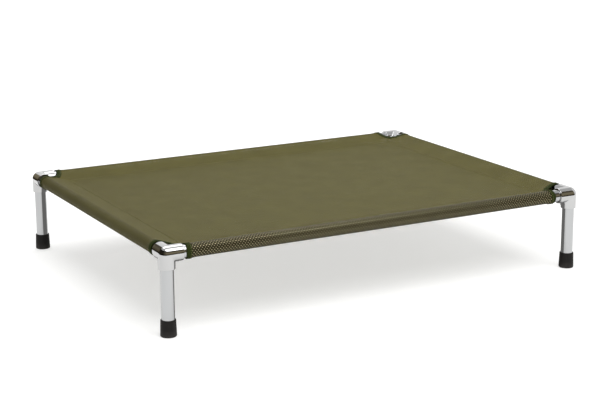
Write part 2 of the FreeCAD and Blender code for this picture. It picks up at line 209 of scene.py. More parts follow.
def in_from(x, y):
    """Distances in from the nearer side rail and from the nearer front or back rail."""
    return LENGTH / 2 - abs(x), WIDTH / 2 - abs(y)


def cut_place(x, y):
    """Distance beyond the edge of the nearest cut-out, and the angle about its centre."""
    centre_x = math.copysign(LENGTH / 2, x) - SLID
    across = abs(x - centre_x) if abs(x) < abs(centre_x) else -abs(x - centre_x)
    along = WIDTH / 2 - abs(y)
    return math.hypot(across, along) - CUT, math.atan2(along, across)


def sleeve_height(inset):
    """Height of the sleeve's upper side over the rail axis, at a distance in from it."""
    if inset < TOUCH:
        return math.sqrt(max(WRAP ** 2 - inset ** 2, 0.0))
    return max(SEAM - inset, 0.0) * SLOPE


def inset_at(x, y):
    """Distance in from the nearest rail, rounded over a corner's diagonal."""
    side, end = in_from(x, y)
    overlap = max(VALLEY - abs(side - end), 0.0) / VALLEY
    return min(side, end) - overlap * overlap * VALLEY / 4


def flare_at(x, y):
    """How far the cloth stands off the rail near a cut-out, to leave room for the binding."""
    beyond, _ = cut_place(x, y)
    return FLARE * (1 - smooth_step((beyond - TAPE_WIDTH) / FLARE_REACH))


def ripple_at(x, y):
    """Small unevenness: pulls along the seams, puckers at the cut-outs, soft waves between."""
    beyond, angle = cut_place(x, y)
    side, end = in_from(x, y)
    off_seam = abs(inset_at(x, y) - SEAM)
    along = x if end < side else y
    pull = noise.noise(Vector((along / PULL_LONG, PULL_LINE, 0.0))) * math.exp(-off_seam / PULL_WIDE)
    fold = math.sin(2 * min(max(angle, 0.0), math.pi / 2)) ** 2
    # Another part of the noise for each corner, so that no two corners pucker alike.
    own_part = math.copysign(3, x), math.copysign(7, y)
    gather = noise.noise(Vector((angle * PUCKERS_PER_RADIAN, *own_part)))
    pucker = gather * fold * math.exp(-max(beyond - TAPE_WIDTH, 0.0) / PUCKER_WIDE)
    wave = noise.noise(Vector((x / WAVE_LONG, y / WAVE_LONG, 0.0)))
    free = smooth_step(inset_at(x, y) / DRAWN_FLAT)
    return free * (PULL_HIGH * pull + PUCKER_HIGH * pucker + WAVE_HIGH * wave)


def upper(x, y):
    """A point in the middle of the cloth, on the upper side."""
    inset = inset_at(x, y)
    hang = 0.0
    if inset > SEAM:
        half_x, half_y = LENGTH / 2 - SEAM, WIDTH / 2 - SEAM
        hang = SAG * (1 - (x / half_x) ** 2) * (1 - (y / half_y) ** 2)
    groove = GROOVE_DEEP * math.exp(-((inset - SEAM - HEM / 2) / GROOVE_WIDE) ** 2)
    lift = flare_at(x, y) + ripple_at(x, y) - max(hang, 0.0) - groove
    return Vector((x, y, RAIL_Z + sleeve_height(inset) + lift))


def under(x, y):
    """A point in the middle of the cloth folded under, which closes on the seam from below."""
    inset = inset_at(x, y)
    closing = (CLOTH + GAP) * smooth_step((inset - CLOSE_FROM) / CLOSE_OVER)
    follow = smooth_step((inset - FOLLOW_FROM) / FOLLOW_OVER)
    above = upper(x, y).z - RAIL_Z
    free = -sleeve_height(inset) - flare_at(x, y)
    return Vector((x, y, RAIL_Z + free * (1 - follow) + above * follow - closing))


def flat_inset(inset):
    """Distance in from a rail's top line, measured along the cloth."""
    if inset < TOUCH:
        return WRAP * math.asin(max(inset, 0.0) / WRAP)
    start = WRAP * math.asin(TOUCH / WRAP)
    return start + (min(inset, SEAM) - TOUCH) * math.hypot(1, SLOPE) + max(inset - SEAM, 0.0)


FLAT_X = LENGTH / 2 - SEAM + flat_inset(SEAM)  # centre line to a side rail's top line
FLAT_Y = WIDTH / 2 - SEAM + flat_inset(SEAM)


def flat_upper(x, y):
    """Where a point of the upper side lies on the cloth before it is folded."""
    side, end = in_from(x, y)
    return (math.copysign(FLAT_X - flat_inset(side), x), math.copysign(FLAT_Y - flat_inset(end), y))


def flat_under(x, y, by_side):
    """The same for the part folded under, over a side rail or over the front or back one."""
    side, end = in_from(x, y)
    turn = math.pi * WRAP
    if by_side:
        return (math.copysign(FLAT_X + turn + flat_inset(side), x), flat_upper(x, y)[1])
    return (flat_upper(x, y)[0], math.copysign(FLAT_Y + turn + flat_inset(end), y))


MIDDLE_STEP = 8 * MM                          # grid spacing in the middle of the panel


def grid_lines(span):
    """Grid lines across the cloth: close together at the rails and seams, wide in the middle."""
    band = [0, 1, 2, 3, 4.5, 6.5, 9, 12, 15, 18.5, 22, 25.5, 29, 32.5, 36, 39.5, 42.5, 45,
            47, 48.6, 50]
    rise = [51.5, 53, 55, 57.5, 60, 63, 66, 69, 72, 75, 78.5, 82.5, 87, 92]
    near = [b * MM - span / 2 for b in band + rise]
    count = round(2 * -near[-1] / MIDDLE_STEP)
    middle = [near[-1] * (1 - 2 * i / count) for i in range(1, count)]
    return near + middle + [-n for n in reversed(near)], len(band) - 1


cloth = bmesh.new()
flat = cloth.loops.layers.uv.new("cloth")


def add_patch(rows):
    """Add a patch from rows of (point, flat place); rows and columns run along the patch."""
    made = [[cloth.verts.new(point) for point, _ in row] for row in rows]
    for r in range(len(rows) - 1):
        for c in range(len(rows[0]) - 1):
            ring = ((r, c), (r, c + 1), (r + 1, c + 1), (r + 1, c))
            face = cloth.faces.new([made[i][j] for i, j in ring])
            for loop, (i, j) in zip(face.loops, ring):
                loop[flat].uv = rows[i][j][1]


lines_x, band = grid_lines(LENGTH)
lines_y, band = grid_lines(WIDTH)
last_x, last_y = len(lines_x) - 1, len(lines_y) - 1

# The panel and the sleeves' straight stretches, upper side and then the part folded under.
spans_y = ((0, band), (band, last_y - band), (last_y - band, last_y))
for span, (start, end) in enumerate(spans_y):
    xs = lines_x if span == 1 else lines_x[band:last_x - band + 1]
    add_patch([[(upper(x, y), flat_upper(x, y)) for x in xs] for y in lines_y[start:end + 1]])
hem_lines = band + 2                          # the hem ends two grid lines behind the seam
for sign in (-1, 1):
    ys = [sign * -y for y in lines_y[:hem_lines + 1]]
    xs = lines_x[band:last_x - band + 1]
    add_patch([[(under(x, y), flat_under(x, y, False)) for x in xs] for y in ys])
    xs = [sign * -x for x in lines_x[:hem_lines + 1]]
    ys = lines_y[hem_lines:last_y - hem_lines + 1]
    add_patch([[(under(x, y), flat_under(x, y, True)) for x in xs] for y in ys])
    for turn in (-1, 1):
        xs = [sign * -x for x in lines_x[:band + 1]]
        ys = [turn * -y for y in lines_y[band:hem_lines + 1]]
        add_patch([[(under(x, y), flat_under(x, y, True)) for x in xs] for y in ys])

# Round each cut-out, rays run from its edge out to the square between the two seams.
RAYS_DEEP = 10


def round_cut(sign_x, radius, share):
    """A place on a circle about a cut-out's centre, as distances in from the corner's two rails."""
    offset = SLID * sign_x                    # from the side rail in to the cut-out's centre
    turn = math.acos(-offset / radius) * share
    return offset + radius * math.cos(turn), radius * math.sin(turn)


def to_plan(sign_x, sign_y, inward):
    """Distances in from a corner's two rails, as x and y."""
    return sign_x * (LENGTH / 2 - inward[0]), sign_y * (WIDTH / 2 - inward[1])


edge_x = [line + LENGTH / 2 for line in lines_x[:band + 1]]
for sign_x, sign_y in CORNER_SIGNS:
    outer = [(SEAM, b) for b in edge_x] + [(b, SEAM) for b in reversed(edge_x[:-1])]
    turns = [math.atan2(b, a - SLID * sign_x) for a, b in outer]
    inner = [round_cut(sign_x, CUT, turn / turns[-1]) for turn in turns]
    plan = []
    for step in range(RAYS_DEEP + 1):
        share = step / RAYS_DEEP
        ring = [(a + (c - a) * share, b + (d - b) * share) for (a, b), (c, d) in zip(inner, outer)]
        plan.append([to_plan(sign_x, sign_y, point) for point in ring])
    add_patch([[(upper(x, y), flat_upper(x, y)) for x, y in row] for row in plan])
    add_patch([[(under(x, y), flat_under(x, y, False)) for x, y in row[:band + 1]] for row in plan])
    add_patch([[(under(x, y), flat_under(x, y, True)) for x, y in row[band:]] for row in plan])

# The cloth round the outside of the rails, from each top line to the bottom line.
AROUND = 18                                   # steps
JOIN = 0.02 * MM                              # points closer than this are one


def wrapped(x_side, sign, along, angle, lift):
    """A point on the cloth round a rail. The angle runs from the rail's top, outwards, down."""
    reach = (LENGTH if x_side else WIDTH) / 2 + (WRAP + lift) * math.sin(angle)
    z = RAIL_Z + (WRAP + lift) * math.cos(angle)
    return Vector((sign * reach, along, z) if x_side else (along, sign * reach, z))


def cut_reach(x_side, sign_x, out, radius):
    """How far in from a corner a circle about its cut-out's centre crosses a sleeve's outside."""
    offset = SLID * sign_x
    if x_side:
        return math.sqrt(radius ** 2 - (out + offset) ** 2)
    return offset + math.sqrt(radius ** 2 - out ** 2)


for sign in (-1, 1):
    for x_side in (False, True):
        span, lines, last = (WIDTH, lines_y, last_y) if x_side else (LENGTH, lines_x, last_x)
        low_end, high_end = (sign, sign) if x_side else (-1, 1)
        start, stop = -span / 2 + SEAM, span / 2 - SEAM
        rows = []
        for step in range(AROUND + 1):
            angle = math.pi * step / AROUND
            out = WRAP * math.sin(angle)
            first = -span / 2 + cut_reach(x_side, low_end, out, CUT)
            final = span / 2 - cut_reach(x_side, high_end, out, CUT)
            alongs = [first + (start - first) * i / RAYS_DEEP for i in range(RAYS_DEEP)]
            alongs += lines[band:last - band + 1]
            alongs += [stop + (final - stop) * i / RAYS_DEEP for i in range(1, RAYS_DEEP + 1)]
            row = []
            for along in alongs:
                edge = (sign * LENGTH / 2, along) if x_side else (along, sign * WIDTH / 2)
                lift = flare_at(*edge)
                arc = WRAP * angle
                if x_side:
                    spot = (sign * (FLAT_X + arc), flat_upper(*edge)[1])
                else:
                    spot = (flat_upper(*edge)[0], sign * (FLAT_Y + arc))
                row.append((wrapped(x_side, sign, along, angle, lift), spot))
            rows.append(row)
        add_patch(rows)

bmesh.ops.remove_doubles(cloth, verts=cloth.verts, dist=JOIN)
bmesh.ops.recalc_face_normals(cloth, faces=cloth.faces)
top_face = min(cloth.faces, key=lambda f: f.calc_center_median().xy.length)
if top_face.normal.z < 0:
    bmesh.ops.reverse_faces(cloth, faces=cloth.faces)
mesh = bpy.data.meshes.new("mesh_cover")
cloth.to_mesh(mesh)
cloth.free()
cover = bpy.data.objects.new("mesh_cover", mesh)
bpy.context.scene.collection.objects.link(cover)
for polygon in mesh.polygons:
    polygon.use_smooth = True


def apply_modifier(thing, kind, **settings):
    """Add one modifier, set it and apply it to the mesh."""
    modifier = thing.modifiers.new(kind.title(), kind)
    for key, number in settings.items():
        setattr(modifier, key, number)
    with bpy.context.temp_override(object=thing, active_object=thing, selected_objects=[thing]):
        bpy.ops.object.modifier_apply(modifier=modifier.name)


YARN = 0.5 * MM                               # thickness of the yarn beside an eyelet
apply_modifier(cover, "SOLIDIFY", thickness=YARN, offset=0.0)

# The yarn is olive with a soft plastic gloss, and rows of small staggered eyelets let light
# and the rails show through. On the real cloth they are about 5 mm apart along the bed and
# about 2.8 mm from row to row; here they are a fifth coarser, so that they hold at a distance.
EYELET_PITCH, EYELET_ROWS = 6.0, 6.8          # millimetres; a second row lies between
EYELET_LONG, EYELET_WIDE = 1.15, 0.85         # half sizes
DRAWN_FROM, DRAWN_FULLY = -3.0, -1.0          # millimetres past a rail's top line, going round
LOOSE_OVER = 2.0                              # millimetres past its bottom line
YARN_BANDS, FUZZ_GRAIN, DYE_CLOUDS = 0.9, 1.4, 0.02    # pattern scales: 0.35, 0.7 and 50 mm
ON_RAIL_STRENGTH = (("X", 0.35), ("Y", 1.0))       # how strongly the painted rail shade and pale eyelets show: weaker over the side rails than over the front and back ones
mesh_cloth, tree, shader = new_material("pvc_coated_polyester_mesh", "#59542F",
                                        Specular_IOR_Level=0.04)
own = add_node(tree, "UVMap", {"uv_map": "cloth"}).outputs["UV"]
in_mm = add_node(tree, "VectorMath", {"operation": "SCALE", "Scale": 1 / MM}, {0: own}).outputs[0]
cell = add_node(tree, "VectorMath", {"operation": "MULTIPLY",
                                     1: (1 / EYELET_PITCH, 1 / EYELET_ROWS, 0.0)}, {0: in_mm})
reach = []
for shift in (0.0, 0.5):
    moved = add_node(tree, "VectorMath", {"operation": "ADD", 1: (shift, shift, 0.0)},
                     {0: cell.outputs[0]})
    part = add_node(tree, "VectorMath", {"operation": "FRACTION"}, {0: moved.outputs[0]})
    centred = add_node(tree, "VectorMath", {"operation": "SUBTRACT", 1: (0.5, 0.5, 0.0)},
                       {0: part.outputs[0]})
    scaled = add_node(tree, "VectorMath",
                      {"operation": "MULTIPLY", 1: (EYELET_PITCH / EYELET_LONG,
                                                    EYELET_ROWS / EYELET_WIDE, 0.0)},
                      {0: centred.outputs[0]})
    reach.append(add_node(tree, "VectorMath", {"operation": "LENGTH"},
                          {0: scaled.outputs[0]}).outputs["Value"])
nearest = add_node(tree, "Math", {"operation": "MINIMUM"}, {0: reach[0], 1: reach[1]}).outputs[0]
# Away from the rails an eyelet is a hole. Where the cloth lies drawn tight over a rail the eyelets are
# closed and painted pale and half metallic, a painted reflection that stands in for the chrome behind
# them and its highlights.
from_middle = add_node(tree, "VectorMath", {"operation": "ABSOLUTE"}, {0: in_mm})
past_top = add_node(tree, "VectorMath",
                    {"operation": "SUBTRACT", 1: (FLAT_X / MM, FLAT_Y / MM, 0.0)},
                    {0: from_middle.outputs[0]})
sides = add_node(tree, "SeparateXYZ", links={"Vector": past_top.outputs[0]})
half_turn = math.pi * WRAP / MM
on_each_rail = []
for axis, strength in ON_RAIL_STRENGTH:
    reached = add_node(tree, "MapRange", {"From Min": DRAWN_FROM, "From Max": DRAWN_FULLY,
                                          "To Max": strength}, {"Value": sides.outputs[axis]})
    left_again = add_node(tree, "MapRange", {"From Min": half_turn,
                                             "From Max": half_turn + LOOSE_OVER, "To Min": 1.0,
                                             "To Max": 0.0}, {"Value": sides.outputs[axis]})
    on_each_rail.append(add_node(tree, "Math", {"operation": "MULTIPLY"},
                          {0: reached.outputs["Result"], 1: left_again.outputs["Result"]}).outputs[0])
on_rail = add_node(tree, "Math", {"operation": "MAXIMUM"}, {0: on_each_rail[0], 1: on_each_rail[1]}).outputs[0]
hole = add_node(tree, "MapRange", {"From Min": 0.9, "From Max": 1.1, "To Min": 1.0, "To Max": 0.0},
                {"Value": nearest})
off_rail = add_node(tree, "Math", {"operation": "SUBTRACT", 0: 1.0}, {1: on_rail}).outputs[0]
open_hole = add_node(tree, "Math", {"operation": "MULTIPLY"},
                     {0: hole.outputs["Result"], 1: off_rail}).outputs[0]
solid = add_node(tree, "Math", {"operation": "SUBTRACT", 0: 1.0}, {1: open_hole})
tree.links.new(solid.outputs[0], shader.inputs["Alpha"])
chrome_seen = add_node(tree, "Math", {"operation": "MULTIPLY"},
                       {0: hole.outputs["Result"], 1: on_rail}).outputs[0]
metal = add_node(tree, "Math", {"operation": "MULTIPLY", 1: 0.5}, {0: chrome_seen})
tree.links.new(metal.outputs[0], shader.inputs["Metallic"])
yarn = add_node(tree, "TexWave", {"Scale": YARN_BANDS, "Distortion": 0.6, "Detail": 1.0,
                                  "bands_direction": "Y"}, {"Vector": in_mm})
fuzz = add_node(tree, "TexNoise", {"Scale": FUZZ_GRAIN, "Detail": 3.0}, {"Vector": in_mm})
relief = add_node(tree, "MapRange", {"From Min": 0.8, "From Max": 2.4}, {"Value": nearest})
woven = add_node(tree, "Math", {"operation": "MULTIPLY"},
                 {0: yarn.outputs["Fac"], 1: relief.outputs["Result"]})
rough_yarn = add_node(tree, "Math", {"operation": "MULTIPLY_ADD", 1: 0.5},
                      {0: fuzz.outputs["Fac"], 2: woven.outputs[0]})
bump = add_node(tree, "Bump", {"Strength": 0.55, "Distance": 0.35 * MM},
                {"Height": rough_yarn.outputs[0]})
tree.links.new(bump.outputs["Normal"], shader.inputs["Normal"])
dye = add_node(tree, "TexNoise", {"Scale": DYE_CLOUDS, "Detail": 5.0}, {"Vector": in_mm})
shade = add_node(tree, "Math", {"operation": "MULTIPLY_ADD", 1: 0.45},
                 {0: dye.outputs["Fac"], 2: fuzz.outputs["Fac"]})
colour = add_node(tree, "ValToRGB", links={"Fac": shade.outputs[0]})
colour.color_ramp.elements[0].position = 0.35
colour.color_ramp.elements[0].color = linear("#464122")
colour.color_ramp.elements[1].position = 0.95
colour.color_ramp.elements[1].color = linear("#615C34")
# Painted shade: where the cloth lies on a rail its colour is darkened, standing in for the light that
# no longer comes through the cloth from behind.
rail_painted_shade = add_node(tree, "MapRange", {"To Min": 1.0, "To Max": 0.15}, {"Value": on_rail})
yarn_with_painted_shade = add_node(tree, "VectorMath", {"operation": "SCALE"},
                    {0: colour.outputs["Color"], "Scale": rail_painted_shade.outputs["Result"]})
painted_chrome_tone = add_node(tree, "VectorMath", {"operation": "SCALE", 0: linear("#A89F7E")[:3]},
                      {"Scale": chrome_seen})
covered = add_node(tree, "Math", {"operation": "SUBTRACT", 0: 1.0}, {1: chrome_seen})
beside = add_node(tree, "VectorMath", {"operation": "SCALE"},
                  {0: yarn_with_painted_shade.outputs[0], "Scale": covered.outputs[0]})
seen = add_node(tree, "VectorMath", {"operation": "ADD"},
                {0: beside.outputs[0], 1: painted_chrome_tone.outputs[0]})
tree.links.new(seen.outputs[0], shader.inputs["Base Color"])
gloss = add_node(tree, "MapRange", {"To Min": 0.42, "To Max": 0.6}, {"Value": fuzz.outputs["Fac"]})
polished = add_node(tree, "Math", {"operation": "MULTIPLY_ADD", 1: -0.4},
                    {0: chrome_seen, 2: gloss.outputs["Result"]})
tree.links.new(polished.outputs[0], shader.inputs["Roughness"])
cover.data.materials.append(mesh_cloth)


# ---- Binding ----------------------------------------------------------------------------
# Dark green woven polypropylene tape folded over the cut edge of each corner cut-out and
# round the two sleeve mouths beside it, so that one closed loop of it trims each corner.
TAPE = 0.6 * MM
TAPE_OFF = CLOTH / 2 + GAP + TAPE / 2         # middle of the tape from the middle of the cloth
LOOP_TOP, LOOP_SIDE = 40, 22                  # steps over the cut-out and round a rail
TAPE_ROWS, FOLD_ROWS = 4, 5                   # steps across each face and over the folded edge
ROW_WIDTH = 2 * MM                            # of one such step, in the tape's own UV map
STITCH_ROW = 3                                # the stitches run three of the four steps in
RUFFLE_HIGH, RUFFLE_LONG = 0.22 * MM, 7.5 * MM    # slight waves along the tape
TAPE_RIBS, TAPE_CROSS = 0.35, 0.5             # pattern scales: a rib every 0.9 and 0.63 mm


def tape_point(sign_x, sign_y, stage, share, beyond):
    """A point on the cloth a given way in from its cut edge, at a place on the loop."""
    radius = CUT + beyond
    if stage in ("upper", "under"):
        part = share if stage == "upper" else 1 - share
        x, y = to_plan(sign_x, sign_y, round_cut(sign_x, radius, part))
        return upper(x, y) if stage == "upper" else under(x, y)
    angle = math.pi * (share if stage == "side" else 1 - share)
    out = WRAP * math.sin(angle)
    if stage == "side":
        along = sign_y * (WIDTH / 2 - cut_reach(True, sign_x, out, radius))
        return wrapped(True, sign_x, along, angle, flare_at(sign_x * LENGTH / 2, along))
    along = sign_x * (LENGTH / 2 - cut_reach(False, sign_x, out, radius))
    return wrapped(False, sign_y, along, angle, flare_at(along, sign_y * WIDTH / 2))


# Polypropylene yarn woven into flat tape: matt, with fine ribs that show as a darker grid.
woven_tape, tree, shader = new_material("woven_polypropylene_tape", "#26331A",
                                        Specular_IOR_Level=0.08)
own = add_node(tree, "UVMap", {"uv_map": "tape"}).outputs["UV"]
in_mm = add_node(tree, "VectorMath", {"operation": "SCALE", "Scale": 1 / MM}, {0: own}).outputs[0]
ribs = add_node(tree, "TexWave", {"Scale": TAPE_RIBS, "Distortion": 0.8, "Detail": 1.0,
                                  "bands_direction": "X"}, {"Vector": in_mm})
cross = add_node(tree, "TexWave", {"Scale": TAPE_CROSS, "Distortion": 0.8, "Detail": 1.0,
                                   "bands_direction": "Y"}, {"Vector": in_mm})
weave = add_node(tree, "Math", {"operation": "MULTIPLY"},
                 {0: ribs.outputs["Fac"], 1: cross.outputs["Fac"]})
tone = add_node(tree, "ValToRGB", links={"Fac": weave.outputs[0]})
tone.color_ramp.elements[0].color = linear("#1B220A")
tone.color_ramp.elements[1].color = linear("#3A4318")
tree.links.new(tone.outputs["Color"], shader.inputs["Base Color"])
sheen = add_node(tree, "MapRange", {"To Min": 0.85, "To Max": 0.65}, {"Value": weave.outputs[0]})
tree.links.new(sheen.outputs["Result"], shader.inputs["Roughness"])
bump = add_node(tree, "Bump", {"Strength": 0.6, "Distance": 0.25 * MM}, {"Height": weave.outputs[0]})
tree.links.new(bump.outputs["Normal"], shader.inputs["Normal"])

loop_steps = [("upper", i / LOOP_TOP) for i in range(LOOP_TOP)]
loop_steps += [("side", i / LOOP_SIDE) for i in range(LOOP_SIDE)]
loop_steps += [("under", i / LOOP_TOP) for i in range(LOOP_TOP)]
loop_steps += [("end", i / LOOP_SIDE) for i in range(LOOP_SIDE)]
bindings = []
stitch_loops = {}
for corner, (sign_x, sign_y) in zip(CORNERS, CORNER_SIGNS):
    strips = []
    for stage, share in loop_steps:
        strips.append([tape_point(sign_x, sign_y, stage, share, TAPE_WIDTH * j / TAPE_ROWS)
                       for j in range(TAPE_ROWS + 1)])
    count = len(strips)
    tape = bmesh.new()
    flat = tape.loops.layers.uv.new("tape")
    rows = []
    outer_line = []
    run = 0.0
    for k, strip in enumerate(strips):
        forward = (strips[(k + 1) % count][0] - strips[k - 1][0]).normalized()
        run += (strip[0] - strips[k - 1][0]).length if k else 0.0
        inwards = (strip[1] - strip[0]).normalized()
        outwards = forward.cross(inwards).normalized()
        stage = loop_steps[k][0]
        if stage in ("upper", "under"):
            guide = Vector((0, 0, 1 if stage == "upper" else -1))
        elif stage == "side":
            guide = Vector((strip[0].x - sign_x * LENGTH / 2, 0, strip[0].z - RAIL_Z))
        else:
            guide = Vector((0, strip[0].y - sign_y * WIDTH / 2, strip[0].z - RAIL_Z))
        if outwards.dot(guide) < 0:
            outwards = -outwards
        wave = RUFFLE_HIGH * math.sin(run / RUFFLE_LONG * 2 * math.pi + sign_x)
        section = [(strip[j] + outwards * (TAPE_OFF + wave * j / TAPE_ROWS), j)
                   for j in range(TAPE_ROWS, -1, -1)]
        for fold in range(1, FOLD_ROWS):
            turn = math.pi * fold / FOLD_ROWS
            bulge = outwards * math.cos(turn) - inwards * math.sin(turn)
            section.append((strip[0] + bulge * TAPE_OFF, -fold))
        section += [(strip[j] - outwards * TAPE_OFF, -FOLD_ROWS - j)
                    for j in range(TAPE_ROWS + 1)]
        rows.append(([tape.verts.new(p) for p, _ in section], run,
                     [-r * ROW_WIDTH for _, r in section]))
        raised = TAPE_OFF + TAPE / 2 + wave * STITCH_ROW / TAPE_ROWS
        outer_line.append((strip[STITCH_ROW] + outwards * raised, outwards))
    total = run + (strips[0][0] - strips[-1][0]).length
    for k in range(count):
        here, there = rows[k], rows[(k + 1) % count]
        end_run = there[1] if k + 1 < count else total
        for j in range(len(here[0]) - 1):
            face = tape.faces.new((here[0][j], here[0][j + 1], there[0][j + 1], there[0][j]))
            spots = ((here[1], here[2][j]), (here[1], here[2][j + 1]),
                     (end_run, here[2][j + 1]), (end_run, here[2][j]))
            for loop, spot in zip(face.loops, spots):
                loop[flat].uv = spot
    bmesh.ops.recalc_face_normals(tape, faces=tape.faces)
    name = f"binding_{corner}"
    mesh = bpy.data.meshes.new(name)
    tape.to_mesh(mesh)
    tape.free()
    binding = bpy.data.objects.new(name, mesh)
    bpy.context.scene.collection.objects.link(binding)
    apply_modifier(binding, "SOLIDIFY", thickness=TAPE, offset=0.0)
    for polygon in binding.data.polygons:
        polygon.use_smooth = True
    binding.data.materials.append(woven_tape)
    bindings.append(binding)
    stitch_loops[corner] = outer_line


# ---- Stitching --------------------------------------------------------------------------
# Twin rows of bonded polyester thread along the four seams, on both faces, and one row
# round each binding. One stitch is modelled and then copied along every row.
THREAD = 0.24 * MM                            # half thickness
STITCH, STITCH_PITCH = 3.3 * MM, 4.2 * MM
STRAIGHT, DIPPING = 0.7, 0.15                 # shares of a stitch: its middle and each end
SUNK, TAPERED = 0.9, 0.6                      # how far an end dips and what it narrows to
TWIST = 0.7 * MM                              # length of one twist of the thread
ROWS_IN = (SEAM + 0.3 * MM, SEAM + 2.3 * MM)  # rail axis to each of the twin rows
ON_CLOTH = CLOTH / 2 + THREAD * 0.5           # middle of the cloth to the middle of a stitch
bpy.ops.mesh.primitive_cylinder_add(vertices=6, radius=THREAD, depth=STITCH * STRAIGHT,
                                    rotation=(0, math.pi / 2, 0))
pattern = bpy.context.object
bpy.ops.object.transform_apply(location=True, rotation=True, scale=True)
bpy.ops.object.mode_set(mode="EDIT")
editing = bmesh.from_edit_mesh(pattern.data)
for direction in (-1, 1):
    for face in editing.faces:
        face.select_set(face.normal.x * direction > 0.9)
    bmesh.update_edit_mesh(pattern.data)
    bpy.ops.mesh.extrude_region_move(
        TRANSFORM_OT_translate={"value": (direction * STITCH * DIPPING, 0, -THREAD * SUNK)})
    bpy.ops.transform.resize(value=(1, TAPERED, TAPERED))
    editing = bmesh.from_edit_mesh(pattern.data)
bpy.ops.object.mode_set(mode="OBJECT")
stitch_mesh = pattern.data
bpy.data.objects.remove(pattern)

# Twisted polyester thread with a bonded coat: a little glossier and lighter than the cloth.
thread, tree, shader = new_material("bonded_polyester_thread", "#59542F",
                                    Specular_IOR_Level=0.3)
place = add_node(tree, "TexCoord").outputs["Object"]
twist = add_node(tree, "TexNoise", {"Scale": 1 / TWIST, "Detail": 2.0}, {"Vector": place})
tone = add_node(tree, "ValToRGB", links={"Fac": twist.outputs["Fac"]})
tone.color_ramp.elements[0].color = linear("#5E5931")
tone.color_ramp.elements[1].color = linear("#7E7849")
tree.links.new(tone.outputs["Color"], shader.inputs["Base Color"])
waxed = add_node(tree, "MapRange", {"To Min": 0.4, "To Max": 0.6}, {"Value": twist.outputs["Fac"]})
tree.links.new(waxed.outputs["Result"], shader.inputs["Roughness"])
bump = add_node(tree, "Bump", {"Strength": 0.4, "Distance": 0.1 * MM}, {"Height": twist.outputs["Fac"]})
tree.links.new(bump.outputs["Normal"], shader.inputs["Normal"])


def sew(name, stitches):
    """One piece holding a copy of the stitch at each (middle, direction, outward) given."""
    sewn = bmesh.new()
    for middle, along, outwards in stitches:
        before = len(sewn.verts)
        sewn.from_mesh(stitch_mesh)
        sewn.verts.ensure_lookup_table()
        across = outwards.cross(along).normalized()
        turn = Matrix((along, across, along.cross(across))).transposed().to_4x4()
        bmesh.ops.transform(sewn, matrix=Matrix.Translation(middle) @ turn,
                            verts=sewn.verts[before:])
    mesh = bpy.data.meshes.new(name)
    sewn.to_mesh(mesh)
    sewn.free()
    for polygon in mesh.polygons:
        polygon.use_smooth = True
    row = bpy.data.objects.new(name, mesh)
    bpy.context.scene.collection.objects.link(row)
    mesh.materials.append(thread)
    return row


def seam_row(inset, surface, facing):
    """Stitches along a rectangle at a distance in from the rails."""
    half_x, half_y = LENGTH / 2 - inset, WIDTH / 2 - inset
    made = []
    for axis, sign in ((0, -1), (1, 1), (0, 1), (1, -1)):
        run = 2 * (half_x if axis == 0 else half_y)
        count = int(run / STITCH_PITCH)
        for i in range(count):
            t = (i + 0.5) * run / count - run / 2
            step = STITCH_PITCH / 4
            spots = [(t + d, sign * half_y) if axis == 0 else (sign * half_x, t + d)
                     for d in (-step, 0, step)]
            back, here, ahead = (surface(*spot) for spot in spots)
            made.append((here + facing * ON_CLOTH, (ahead - back).normalized(), facing))
    return made


UP, DOWN = Vector((0, 0, 1)), Vector((0, 0, -1))
seam_above = sew("seam_stitching_above",
                 [stitch for inset in ROWS_IN for stitch in seam_row(inset, upper, UP)])
seam_below = sew("seam_stitching_below",
                 [stitch for inset in ROWS_IN for stitch in seam_row(inset, under, DOWN)])
stitchings = [seam_above, seam_below]
for corner, line in stitch_loops.items():
    row = []
    carried = 0.0
    for k, (point, outwards) in enumerate(line):
        following, _ = line[(k + 1) % len(line)]
        carried += (following - point).length
        if carried >= STITCH_PITCH:
            carried -= STITCH_PITCH
            row.append((point, (following - point).normalized(), outwards))
    stitchings.append(sew(f"binding_stitching_{corner}", row))
bpy.data.meshes.remove(stitch_mesh)

for piece in [cover, *bindings, *stitchings]:
    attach(piece, "root")
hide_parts("cover_panel", *[f"cover_sleeve_{side}" for side in SIDES])
for corner, binding in zip(CORNERS, bindings):
    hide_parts(f"cover_binding_{corner}")


# ---- Stage ------------------------------------------------------------------------------
# A white sweep that glows a little, as one lit from below does, under two big softboxes.
# Round it stand screens that only polished metal mirrors: a dark one for the unlit room,
# and on the far right a lit one for the white backdrop.
SWEEP = 60                                    # side of the sweep
SCREEN_RADIUS, SCREEN_HEIGHT, SCREEN_FACES = 1.5, 1.28, 96
LIT_SIDE = Vector((0.75, 0.66))               # the lit backdrop stands this way
LIT_SHARE = 0.35                              # least part of a face's direction on that side
CARD_LIFT = 2 * MM                            # card above the floor
ROOM_LIGHT = 0.7
SOFTBOXES = (("softbox_front", -2.7, -0.75, 3.5), ("softbox_back", 0.05, 1.7, 2.3))
SOFTBOX_X, SOFTBOX_HEIGHT, SOFTBOX_LENGTH = 0.1, 2.15, 2.6


def glowing_material(name, colour, strength=1.0):
    """A material that only gives light; returns it, its node tree and the emission node."""
    material = bpy.data.materials.new(name)
    material.use_nodes = True
    tree = material.node_tree
    tree.nodes.clear()
    glow = add_node(tree, "Emission", {"Color": linear(colour), "Strength": strength})
    add_node(tree, "OutputMaterial", links={"Surface": glow.outputs[0]})
    return material, tree, glow


